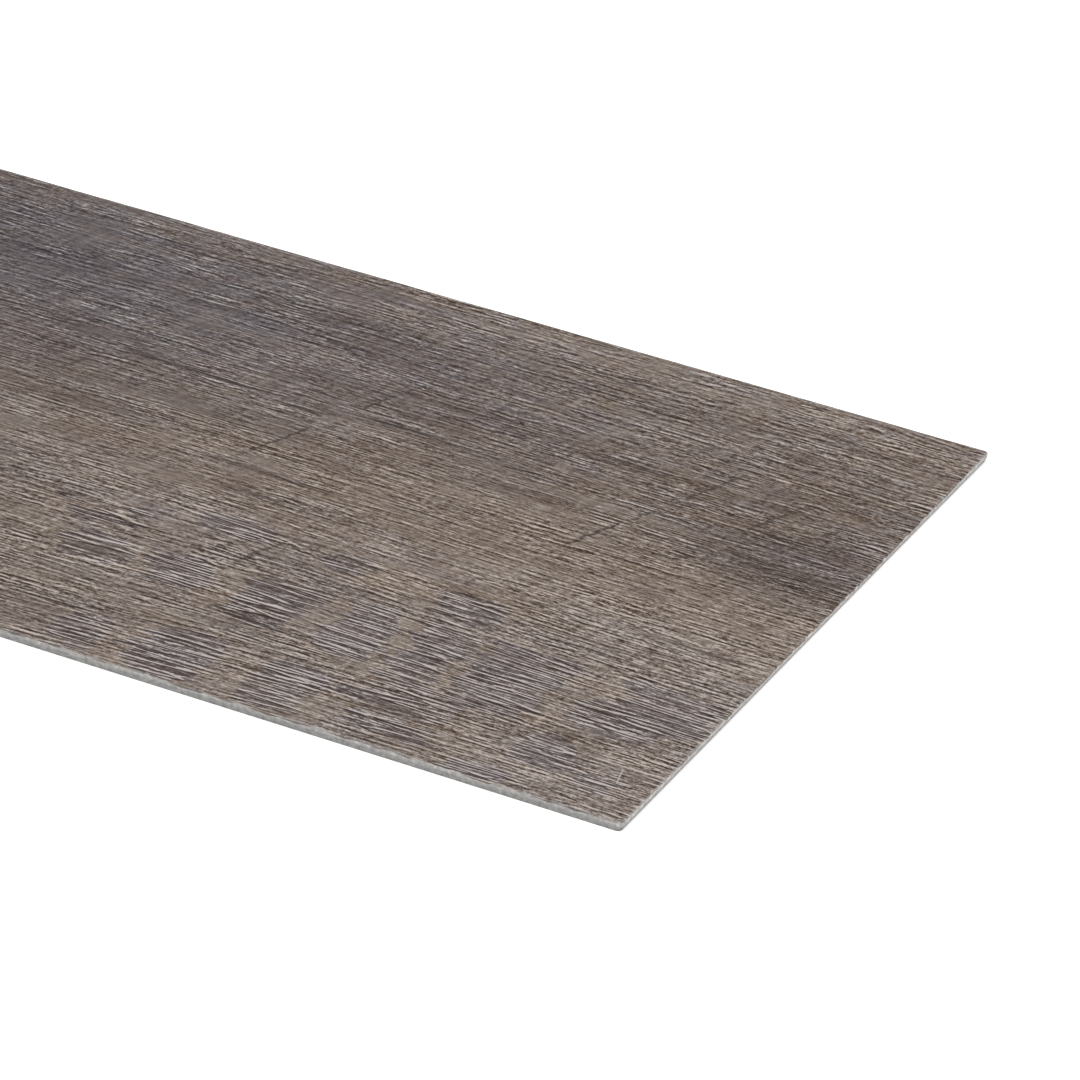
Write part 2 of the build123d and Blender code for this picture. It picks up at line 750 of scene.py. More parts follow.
@dataclass(frozen=True)
class Layer:
    """Fibres of one size, and how strongly they show.

    Attributes:
        fibres: their length and spacing.
        strength: how strongly they show.
        in_fleck: what is added to that in a ray fleck.
    """

    fibres: Fibres
    strength: float
    in_fleck: float = 0.0


@dataclass(frozen=True)
class PrintSpot:
    """A place on the face, as a finish's tree sees it.

    Attributes:
        tree: the finish's tree.
        x: the place along the plank, in millimetres.
        y: the place across the plank, in millimetres.
        grain: the place across the grain, in millimetres.
        down: the place down the saw lines, in millimetres.
        beside: the place beside the saw lines, in millimetres.
        layout: what the picture's layout holds there, by name.
    """

    tree: Tree
    x: Socket
    y: Socket
    grain: Socket
    down: Socket
    beside: Socket
    layout: dict[str, Socket]

    def draw(self, fibres: Fibres) -> Socket:
        """Draw a layer of fibres along the grain."""
        return fibres.draw(self.tree, self.x, self.grain)


@dataclass(frozen=True)
class Finish:
    """What every finish of the plank has.

    Attributes:
        name: the material's name.
        roughness: its roughness.
        ior: its index of refraction.
        specular: the strength of its gloss.
        rough_swing: how far its roughness varies.
        bump_mm: how high the fine relief stands that the mesh is too coarse for.
        bump: how strongly that relief shows.
    """

    name: str
    roughness: float
    ior: float
    specular: float
    rough_swing: float
    bump_mm: float
    bump: float

    def start(self) -> bpy.types.Material:
        """Make a material with an empty tree.

        Returns:
            The material.
        """
        made = bpy.data.materials.new(self.name)
        made.use_nodes = True
        made.node_tree.nodes.clear()
        return made

    def coat(self, tree: Tree, colour: Socket, rough: Socket, height: Socket) -> None:
        """Put the finish together.

        Args:
            tree: the material's tree.
            colour: the colour at each place.
            rough: the roughness at each place.
            height: the fine relief at each place, from 0 to 1.
        """
        feeds = {"Strength": self.bump, "Distance": self.bump_mm * MM, "Height": height}
        feeds = {
            "Base Color": colour,
            "Roughness": rough,
            "IOR": self.ior,
            "Specular IOR Level": self.specular,
            "Normal": add_node(tree, "ShaderNodeBump", feeds),
        }
        shader = add_node(tree, "ShaderNodeBsdfPrincipled", feeds)
        add_node(tree, "ShaderNodeOutputMaterial", (shader,))


@dataclass(frozen=True)
class EmbossedFace(Finish):
    """Printed PVC film under a clear urethane wear layer, pressed hot against a grain plate.

    The eye gets a matt face with little gloss, dull pores, and printed dark and limed streaks, some painted
    ridge light.

    Attributes:
        grey: the print's coldest grey, from its darkest to its lightest.
        tan: the print's warmest tan, from its darkest to its lightest.
        scar: the colour of scars and checks.
        wear_and_highlight: the colour of scratches, and of the rim: partly thin print, partly painted
            highlight.
        fringe: fibres that fray ribs and flecks along the grain.
        rib_fray: how far they fray a rib, in rib spacings.
        swell: how a rib's width varies, in rib spacings.
        rib_rim: where a rib gives way to a fleck, in rib spacings.
        fleck_fray: how strongly the fringe frays a fleck.
        fleck_rim: where the plain print gives way to a fleck.
        warm: what the print's share of tan starts from.
        warm_rib: how much more tan a rib is.
        warm_fleck: how much more tan a fleck is.
        drift: how tan and grey drift through each other.
        mottle: smaller clouds of tan and grey.
        mottle_far: how strongly they show, from the middle line to the far side.
        streaks: the streaks besides the pores and vessels; the first is partly painted ridge highlight and
            shade.
        pore_strength: how strongly the long pores are printed.
        vessel_strength: how strongly the shorter pores are printed.
        bold: what the streaks' boldness starts from.
        bold_patches: how their boldness varies.
        bold_near: how much bolder they are towards the near side.
        bold_end: how much bolder they are towards the +X end.
        bold_fleck: how much bolder they are in a fleck.
        bold_rib: how much bolder they are on a rib.
        lean: how far light streaks outdo dark ones, from the grey to the tan.
        lean_fleck: how much further they do in a fleck.
        tone: what the print's lightness starts from.
        tone_fleck: how much lighter a fleck is.
        tone_rib: how much lighter a rib is.
        cloud: cloudy tone over the placed patches.
        sawn: faint marks of the saw across the grain.
        waver: how far a saw line wavers, in millimetres.
        line_rim: where the plain print gives way to a saw line, in millimetres.
        proud: fibres that stand proud of a scar.
        scar_shown: how much of a scar they let show.
        rim: how near the rim the print is painted paler, in millimetres.
        rim_patches: how that varies along the rim.
        rim_wear_and_highlight: how much paler they make it.
        end_wear_and_highlight_mm: how far from the +X end its own paler rim starts, and where it is full.
        end_wear_and_highlight: how much paler it is there, by how far off the end's middle it is.
        grit: fine grit of the wear layer.
    """

    name: str = "printed_vinyl_hot_embossed"
    roughness: float = 0.58
    ior: float = 1.5
    specular: float = 0.2
    rough_swing: float = 0.2
    bump_mm: float = 0.04
    bump: float = 1.0
    grey: Stops = ((0, "#1C1415"), (0.25, "#41393B"), (0.5, "#676163"), (0.75, "#8B8687"), (1, "#B5AFB1"))
    tan: Stops = ((0, "#26140C"), (0.25, "#4A3828"), (0.5, "#6F6053"), (0.75, "#928579"), (1, "#BCAFA3"))
    scar: str = "#2A2220"
    wear_and_highlight: str = "#BDB9B6"
    fringe: Fibres = Fibres(7.0, 1.0, 83.0)
    rib_fray: float = 0.34
    swell: Layer = Layer(Fibres(18.0, 7.0, 47.0), 0.3)
    rib_rim: Fade = Fade(0.25, 0.29)
    fleck_fray: float = 0.7
    fleck_rim: Fade = Fade(0.68, 0.92)
    warm: float = 0.31
    warm_rib: float = 0.25
    warm_fleck: float = -0.24
    drift: Layer = Layer(Fibres(26.0, 5.0, 29.0, 2.0), 0.55)
    mottle: Fibres = Fibres(9.0, 3.2, 43.0, 1.0)
    mottle_far: Fade = Fade(10.0, 40.0, 0.15, 0.62)
    streaks: tuple[Layer, ...] = (
        # Paired thin light and dark lines: partly print, partly painted highlight and shade on the sides of
        # embossed ridges
        Layer(Fibres(38.0, 1.5, 79.0, crisp=1.0, lag=0.24, ridge=0.065), 0.21, 0.40),
        Layer(Fibres(17.0, 0.62, 23.0, crisp=0.6), 0.0, 0.28),
        Layer(Fibres(3.4, 0.55, 41.0, crisp=0.4), 0.49, 0.05),
        Layer(Fibres(1.2, 0.45, 57.0), 0.42, -0.10),
        Layer(Fibres(0.5, 0.45, 71.0), 0.30, -0.06),
    )
    pore_strength: float = 0.23
    vessel_strength: float = 0.38
    bold: float = -0.13
    bold_patches: tuple[Layer, ...] = (
        Layer(Fibres(40.0, 9.0, 67.0, 1.0), 1.2),
        Layer(Fibres(13.0, 4.5, 107.0), 1.3),
    )
    bold_near: Fade = Fade(-10.0, -32.0, 0.0, 0.31)
    bold_end: Fade = Fade(240.0, 450.0, -0.20, 0.15)
    bold_fleck: float = 0.08
    bold_rib: float = -0.5
    lean: Fade = Fade(0.25, 0.5, 0.12, -0.34)
    lean_fleck: float = 0.75
    tone: float = 0.268
    tone_fleck: float = -0.122
    tone_rib: float = 0.07
    cloud: Layer = Layer(Fibres(60.0, 6.0, 91.0, 2.0), 0.30)
    sawn: Layer = Layer(Fibres(14.0, 1.2, 61.0), 0.18)
    waver: Layer = Layer(Fibres(5.0, 1.2, 13.0, 1.0), 1.5)
    line_rim: Fade = Fade(0.65, 0.15)
    proud: Fibres = Fibres(3.0, 1.1, 97.0)
    scar_shown: Fade = Fade(0.8, 0.5, 0.0, 0.85)
    rim: Fade = Fade(0.8, 0.1)
    rim_patches: Fibres = Fibres(5.0, 3.0, 101.0, 2.0)
    rim_wear_and_highlight: Fade = Fade(0.35, 0.7, 0.04, 0.3)
    end_wear_and_highlight_mm: tuple[float, float] = (16.0, 1.0)
    end_wear_and_highlight: Fade = Fade(36.0, 75.0, -0.15, 0.23)
    grit: Fibres = Fibres(1.6, 0.4, 37.0)

    def flecks(self, at: PrintSpot) -> tuple[Socket, Socket]:
        """Draw the ray flecks, frayed along the grain, and the tan ribs that part them.

        Args:
            at: the place on the face.

        Returns:
            How much of a fleck and how much of a rib the place is, from 0 to 1.
        """
        tree, band, ribs = at.tree, at.layout["fleck"], at.layout["ribs"]
        fringe = at.draw(self.fringe)
        ribs = add_node(tree, MATH, (fringe, self.rib_fray, ribs), operation="MULTIPLY_ADD")
        ribs = add_node(tree, MATH, (ribs, self.rib_fray / 2), operation="SUBTRACT")

        # A rib's middle is at each whole number, so the nearest one is at most a half away
        from_rib = add_node(tree, MATH, (ribs, 0.5), operation="PINGPONG")
        feeds = (at.draw(self.swell.fibres), self.swell.strength, from_rib)
        from_rib = add_node(tree, MATH, feeds, operation="MULTIPLY_ADD")
        between = add_node(tree, SPAN, self.rib_rim.of(from_rib), **SMOOTH)
        fleck = add_node(tree, MATH, (fringe, self.fleck_fray, band), operation="MULTIPLY_ADD")
        fleck = add_node(tree, SPAN, self.fleck_rim.of(fleck), **SMOOTH)
        fleck = add_node(tree, MATH, (fleck, between), operation="MULTIPLY")
        rib = add_node(tree, MATH, (band, fleck), operation="SUBTRACT", use_clamp=True)
        return fleck, rib

    def warmth(self, at: PrintSpot, fleck: Socket, rib: Socket) -> Socket:
        """Let tan and grey drift through each other; ribs are more tan, and flecks more grey.

        Args:
            at: the place on the face.
            fleck: how much of a fleck the place is.
            rib: how much of a rib it is.

        Returns:
            How tan the print is, from 0 to 1.
        """
        tree = at.tree
        feeds = (at.draw(self.drift.fibres), self.drift.strength, at.layout["warm"])
        warm = add_node(tree, MATH, feeds, operation="MULTIPLY_ADD")
        mottle = add_node(tree, MATH, (at.draw(self.mottle), FIBRE_MEAN), operation="SUBTRACT")
        strength = add_node(tree, SPAN, self.mottle_far.of(at.y))
        for part, weight in ((mottle, strength), (rib, self.warm_rib), (fleck, self.warm_fleck)):
            warm = add_node(tree, MATH, (part, weight, warm), operation="MULTIPLY_ADD")
        return add_node(tree, MATH, (warm, self.warm), operation="ADD", use_clamp=True)

    def streaked(
        self, at: PrintSpot, grain: OakGrain, warm: Socket, fleck: Socket, rib: Socket
    ) -> Socket:
        """Draw the dark pores and limed fibres, boldest in the flecks and faint on the ribs.

        Args:
            at: the place on the face.
            grain: the run of the grain.
            warm: how tan the print is.
            fleck: how much of a fleck the place is.
            rib: how much of a rib it is.

        Returns:
            How much lighter the streaks make the print; less than 0 is darker.
        """
        tree = at.tree
        pores, vessels = Layer(grain.pores, self.pore_strength), Layer(grain.vessels, self.vessel_strength)
        streak = 0.0
        for layer in (pores, vessels, *self.streaks):
            centred = add_node(tree, MATH, (at.draw(layer.fibres), FIBRE_MEAN), operation="SUBTRACT")
            strength = add_node(tree, MATH, (fleck, layer.in_fleck, layer.strength), operation="MULTIPLY_ADD")
            streak = add_node(tree, MATH, (centred, strength, streak), operation="MULTIPLY_ADD")
        bold = self.bold
        for layer in self.bold_patches:
            drawn = at.draw(layer.fibres)
            bold = add_node(tree, MATH, (drawn, layer.strength, bold), operation="MULTIPLY_ADD")
        for fade, place in ((self.bold_near, at.y), (self.bold_end, at.x)):
            bold = add_node(tree, MATH, (add_node(tree, SPAN, fade.of(place)), bold), operation="ADD")
        for part, weight in ((fleck, self.bold_fleck), (rib, self.bold_rib)):
            bold = add_node(tree, MATH, (part, weight, bold), operation="MULTIPLY_ADD")
        inked = add_node(tree, MATH, (streak, bold), operation="MULTIPLY")

        # Dark pores lead in the tan, and limed fibres lead in the grey and the flecks
        feeds = (fleck, self.lean_fleck, add_node(tree, SPAN, self.lean.of(warm)))
        lean = add_node(tree, MATH, feeds, operation="MULTIPLY_ADD")
        lean = add_node(tree, MATH, (lean, inked), operation="MULTIPLY")
        return add_node(tree, MATH, (lean, inked, inked), operation="MULTIPLY_ADD")

    def toned(self, at: PrintSpot, inked: Socket, fleck: Socket, rib: Socket) -> Socket:
        """Add the clouds, the saw's faint marks and the streaks to the placed patches of tone.

        Args:
            at: the place on the face.
            inked: how much lighter the streaks make it.
            fleck: how much of a fleck the place is.
            rib: how much of a rib it is.

        Returns:
            How light the print is, from 0 to 1.
        """
        tree, tone = at.tree, at.layout["light"]
        parts = (
            (at.draw(self.cloud.fibres), self.cloud.strength),
            (self.sawn.fibres.draw(tree, at.down, at.beside), self.sawn.strength),
            (fleck, self.tone_fleck),
            (rib, self.tone_rib),
        )
        for part, weight in parts:
            tone = add_node(tree, MATH, (part, weight, tone), operation="MULTIPLY_ADD")
        tone = add_node(tree, MATH, (inked, tone), operation="ADD")
        return add_node(tree, MATH, (tone, self.tone), operation="ADD")

    def marked(self, at: PrintSpot, lines: SawLines) -> Socket:
        """Print saw scars and checks; fibres that stand proud break a scar up.

        Args:
            at: the place on the face.
            lines: the saw lines.

        Returns:
            How dark the marks make the print, from 0 to 1.
        """
        tree = at.tree
        feeds = (at.draw(self.waver.fibres), self.waver.strength, at.beside)
        beside = add_node(tree, MATH, feeds, operation="MULTIPLY_ADD")
        start = lines.start_mm + self.waver.strength / 2
        beside = add_node(tree, MATH, (beside, start), operation="SUBTRACT")
        off_line = add_node(tree, MATH, (beside, lines.pitch_mm / 2), operation="PINGPONG")
        line = add_node(tree, SPAN, self.line_rim.of(off_line), **SMOOTH)
        shown = add_node(tree, SPAN, self.scar_shown.of(at.draw(self.proud)), **SMOOTH)
        scar = add_node(tree, MATH, (line, at.layout["scars"]), operation="MULTIPLY")
        scar = add_node(tree, MATH, (scar, shown), operation="MULTIPLY")
        return add_node(tree, MATH, (scar, at.layout["checks"]), operation="MAXIMUM")

    def thinned_and_highlit(self, at: PrintSpot, end_mm: float, side_mm: float) -> Socket:
        """Paint the rim paler, partly thin print and partly painted highlight, most of all near the corners
        of the +X end.

        Args:
            at: the place on the face.
            end_mm: how far the ends lie from the middle.
            side_mm: how far the long sides lie from the middle.

        Returns:
            How much paler the rim is painted, from 0 to 1.
        """
        tree, rims = at.tree, []
        for place, reach in ((at.x, end_mm), (at.y, side_mm)):
            off_middle = add_node(tree, MATH, (place,), operation="ABSOLUTE")
            rims.append(add_node(tree, MATH, (reach, off_middle), operation="SUBTRACT"))
        from_rim = add_node(tree, MATH, tuple(rims), operation="MINIMUM")
        # The rim is painted paler: partly print that the die thins, partly a painted highlight on the rolled
        # rim
        thin = add_node(tree, SPAN, self.rim.of(from_rim), **SMOOTH)
        wear = add_node(tree, SPAN, self.rim_wear_and_highlight.of(self.rim_patches.draw(tree, at.x, at.y)))
        starts, full = (end_mm - off for off in self.end_wear_and_highlight_mm)
        at_end = add_node(tree, SPAN, Fade(starts, full).of(at.x))
        off_middle = add_node(tree, MATH, (at.y, END_MIDDLE_MM), operation="SUBTRACT")
        off_middle = add_node(tree, MATH, (off_middle,), operation="ABSOLUTE")
        more = add_node(tree, SPAN, self.end_wear_and_highlight.of(off_middle))
        more = add_node(tree, MATH, (at_end, more), operation="MULTIPLY")
        wear = add_node(tree, MATH, (wear, more), operation="ADD", use_clamp=True)
        return add_node(tree, MATH, (thin, wear), operation="MULTIPLY")

    def material(self, grain: OakGrain, layout: OakPrint) -> bpy.types.Material:
        """Make the finish.

        Args:
            grain: the run of the grain.
            layout: the printed picture.

        Returns:
            The material.
        """
        made = self.start()
        tree = made.node_tree
        x, y, _ = TreeUse.FINISH.place_mm(tree)
        read = {
            name: add_node(tree, "ShaderNodeAttribute", out="Fac", attribute_name=name)
            for name in ("light", "warm", "fleck", "ribs", "scars", "checks")
        }
        at = PrintSpot(tree, x, y, grain.flow(tree, x, y), *layout.saw.place(tree, x, y), read)
        fleck, rib = self.flecks(at)
        warm = self.warmth(at, fleck, rib)
        tone = self.toned(at, self.streaked(at, grain, warm, fleck, rib), fleck, rib)

        # The tone picks a grey and a tan, which mix by how tan the print is there
        grey = add_node(tree, "ShaderNodeValToRGB", (tone,), stops=self.grey)
        tan = add_node(tree, "ShaderNodeValToRGB", (tone,), stops=self.tan)
        colour = add_node(tree, MIX, {SHARE: warm, COLOUR_A: grey, COLOUR_B: tan}, **MIX_COLOUR)

        # Over that lie the dark marks, the paler rim, partly painted highlight, and the scratches
        dark = self.marked(at, layout.saw)
        marks = [(dark, self.scar), (self.thinned_and_highlit(at, layout.length_mm / 2, layout.width_mm / 2), self.wear_and_highlight)]
        marks += [(scratch.draw(tree, x, y), self.wear_and_highlight) for scratch in layout.scratches]
        for share, shade in marks:
            feeds = {SHARE: share, COLOUR_A: colour, COLOUR_B: linear_colour(shade)}
            colour = add_node(tree, MIX, feeds, **MIX_COLOUR)

        grit = at.draw(self.grit)
        height = add_node(tree, MATH, (dark, -1.0, grit), operation="MULTIPLY_ADD")
        feeds = (grit, self.rough_swing, self.roughness - self.rough_swing / 2)
        rough = add_node(tree, MATH, feeds, operation="MULTIPLY_ADD")
        self.coat(tree, colour, rough, height)
        return made


@dataclass(frozen=True)
class DieCutEdge(Finish):
    """Filled PVC, cut by a die: the blade drags the print over its rim, and chalk filler shows as specks.

    The eye gets a dull light grey, paler in the sheared band, partly painted light, and painted shade at the
    foot.

    Attributes:
        tones: the PVC's greys, from its darkest to its lightest.
        tone: what the cut's lightness starts from.
        sheared_tone_and_light: how much lighter the sheared band is, partly its own tone and partly painted
            light on the top of the cut.
        end_painted_light: how much lighter the +X end is painted, as painted light.
        blade_lines: upright lines that the blade leaves, drawn coarser than real ones so that they show.
        line_relief: how high they stand, beside the specks.
        filler: specks of chalk, drawn coarser too.
        undercut_mm: how high the break below the sheared band reaches.
        sheared_mm: how far from there the sheared band starts and is full.
        end_mm: how far the +X end lies from the middle.
        end_zone_mm: how far from that end its own painted light starts and is full.
        foot_shade: how dark the painted shade is that lies along the foot of the cut.
        foot_shade_corners: how much darker that shade is at the +X end, by how far off the end's middle it
            is.
        foot: how high it lies, in millimetres.
        dragged: the colour of print that is dragged over the rim.
        drag: how the print's rim wanders along the edge.
        notches: how the cut fibres notch that rim along the ends.
        notch_lean: how far those fibres lean.
        drag_corners: how much further the print is dragged at the +X end, by how far off the end's middle.
        top_mm: how high the face lies.
        drag_rim_mm: how far past the face the dragged print starts and is full.
    """

    name: str = "filled_pvc_die_cut"
    roughness: float = 0.7
    ior: float = 1.53
    specular: float = 0.3
    rough_swing: float = -0.12
    bump_mm: float = 0.04
    bump: float = 0.6
    tones: Stops = ((0, "#73716F"), (0.45, "#A4A2A0"), (0.75, "#BBB9B6"), (1, "#DDDBD8"))
    tone: float = -0.10
    sheared_tone_and_light: float = 0.22
    end_painted_light: float = 0.06
    blade_lines: Layer = Layer(Fibres(4.0, 0.9, 7.0, 2.0), 0.35)
    line_relief: float = 0.6
    filler: Layer = Layer(Fibres(0.7, 1.1, 31.0, 2.0), 0.85)
    undercut_mm: float = 1.2
    sheared_mm: tuple[float, float] = (-0.15, 0.25)
    end_mm: float = 457.2
    end_zone_mm: tuple[float, float] = (1.7, 0.7)
    foot_shade: float = 0.1
    foot_shade_corners: Fade = Fade(30.0, 75.0, 0.0, 0.6)
    foot: Fade = Fade(0.7, 0.2)
    dragged: str = "#6F655F"
    drag: Layer = Layer(Fibres(8.0, 6.0, 53.0, 3.0), 1.2)
    notches: Layer = Layer(Fibres(8.0, 1.3, 103.0, 1.0), 0.9)
    notch_lean: float = 0.06
    drag_corners: Fade = Fade(30.0, 75.0, 0.12, -0.3)
    top_mm: float = 2.0
    drag_rim_mm: tuple[float, float] = (0.82, 0.98)

    def material(self) -> bpy.types.Material:
        """Make the finish.

        Returns:
            The material.
        """
        made = self.start()
        tree = made.node_tree
        x, y, z = TreeUse.FINISH.place_mm(tree)
        run = add_node(tree, MATH, (x, y), operation="ADD")
        lines = self.blade_lines.fibres.draw(tree, z, run)
        specks = self.filler.fibres.draw(tree, z, run)
        # The sheared band on top is painted paler: partly its own tone, partly painted light on the top of
        # the cut
        fade = Fade(*(self.undercut_mm + off for off in self.sheared_mm))
        sheared = add_node(tree, SPAN, fade.of(z), **SMOOTH)
        # Painted light: the +X end of the cut is painted lighter than the long sides
        at_end = add_node(tree, SPAN, Fade(*(self.end_mm - off for off in self.end_zone_mm)).of(x))
        tone = self.tone
        parts = (
            (sheared, self.sheared_tone_and_light),
            (lines, self.blade_lines.strength),
            (specks, self.filler.strength),
            (at_end, self.end_painted_light),
        )
        for part, weight in parts:
            tone = add_node(tree, MATH, (part, weight, tone), operation="MULTIPLY_ADD")

        # Painted shade lies along the foot of the cut, most of it near the corners of the +X end
        off_middle = add_node(tree, MATH, (y, END_MIDDLE_MM), operation="SUBTRACT")
        off_middle = add_node(tree, MATH, (off_middle,), operation="ABSOLUTE")
        feeds = (at_end, add_node(tree, SPAN, self.foot_shade_corners.of(off_middle)), self.foot_shade)
        foot_shade = add_node(tree, MATH, feeds, operation="MULTIPLY_ADD")
        foot_shade = add_node(tree, MATH, (foot_shade, add_node(tree, SPAN, self.foot.of(z))), operation="MULTIPLY")
        tone = add_node(tree, MATH, (tone, foot_shade), operation="SUBTRACT")
        colour = add_node(tree, "ShaderNodeValToRGB", (tone,), stops=self.tones)

        # The print is dragged over the rim, least of all near those corners
        fibre = add_node(tree, MATH, (x, self.notch_lean, y), operation="MULTIPLY_ADD")
        reach = z
        parts = (
            (self.drag.fibres.draw(tree, z, run), self.drag.strength),
            (self.notches.fibres.draw(tree, z, fibre), self.notches.strength),
            (at_end, add_node(tree, SPAN, self.drag_corners.of(off_middle))),
        )
        for part, weight in parts:
            reach = add_node(tree, MATH, (part, weight, reach), operation="MULTIPLY_ADD")
        fade = Fade(*(self.top_mm + off for off in self.drag_rim_mm))
        smear = add_node(tree, SPAN, fade.of(reach), **SMOOTH)
        feeds = {SHARE: smear, COLOUR_A: colour, COLOUR_B: linear_colour(self.dragged)}
        colour = add_node(tree, MIX, feeds, **MIX_COLOUR)
        height = add_node(tree, MATH, (lines, self.line_relief, specks), operation="MULTIPLY_ADD")
        rough = add_node(tree, MATH, (sheared, self.rough_swing, self.roughness), operation="MULTIPLY_ADD")
        self.coat(tree, colour, rough, height)
        return made


@dataclass(frozen=True)
class ReleasePaper(Finish):
    """Bleached kraft paper, calendered and coated with silicone, that covers the glue until it is peeled off.

    The eye gets a smooth off-white with faint clouds of pulp and a low sheen.

    Attributes:
        tones: the paper's colours, from its darkest to its lightest.
        pulp: clouds of denser pulp.
        fibres: the pulp's fibres, drawn coarser than real ones so that they show.
    """

    name: str = "kraft_release_paper_calendered"
    roughness: float = 0.42
    ior: float = 1.45
    specular: float = 0.4
    rough_swing: float = 0.16
    bump_mm: float = 0.02
    bump: float = 0.3
    tones: Stops = ((0, "#D8D3C8"), (0.5, "#E4DFD5"), (1, "#EEEAE1"))
    pulp: Layer = Layer(Fibres(9.0, 4.0, 3.0, 3.0), 0.6)
    fibres: Layer = Layer(Fibres(2.5, 0.5, 19.0, 1.0), 0.4)

    def material(self) -> bpy.types.Material:
        """Make the finish.

        Returns:
            The material.
        """
        made = self.start()
        tree = made.node_tree
        x, y, _ = TreeUse.FINISH.place_mm(tree)
        clouds = self.pulp.fibres.draw(tree, x, y)
        feeds = (self.fibres.fibres.draw(tree, x, y), self.fibres.strength)
        tone = add_node(tree, MATH, feeds, operation="MULTIPLY")
        tone = add_node(tree, MATH, (clouds, self.pulp.strength, tone), operation="MULTIPLY_ADD")
        colour = add_node(tree, "ShaderNodeValToRGB", (tone,), stops=self.tones)
        feeds = (clouds, self.rough_swing, self.roughness - self.rough_swing / 2)
        rough = add_node(tree, MATH, feeds, operation="MULTIPLY_ADD")
        self.coat(tree, colour, rough, tone)
        return made


class Skin(Enum):
    """The plank's finishes, by their place in its list of materials."""

    FACE = 0
    EDGE = 1
    BACK = 2


@dataclass(frozen=True)
class BakeMap:
    """The plank's bake map: the back lies lowest, the cut's four sides above it, and the face on top.

    Attributes:
        name: the map's name.
        left: where it starts.
        width: how wide it is.
        back: the back's lowest and highest v.
        side_low: the first side's lowest v.
        side_step: how far it is from one side's strip to the next.
        side_height: how high a side's strip is.
        face: the face's lowest and highest v.
    """

    name: str = "OFBake"
    left: float = 0.004
    width: float = 0.992
    back: tuple[float, float] = (0.004, 0.095)
    side_low: float = 0.105
    side_step: float = 0.0225
    side_height: float = 0.0175
    face: tuple[float, float] = (0.20, 0.996)

    def strip(self, u: np.ndarray, v: np.ndarray, side: np.ndarray) -> np.ndarray:
        """Map places along and up one of the cut's sides, each from 0 to 1."""
        low = self.side_low + self.side_step * side
        return np.stack([self.left + self.width * u, low + self.side_height * v], axis=-1)


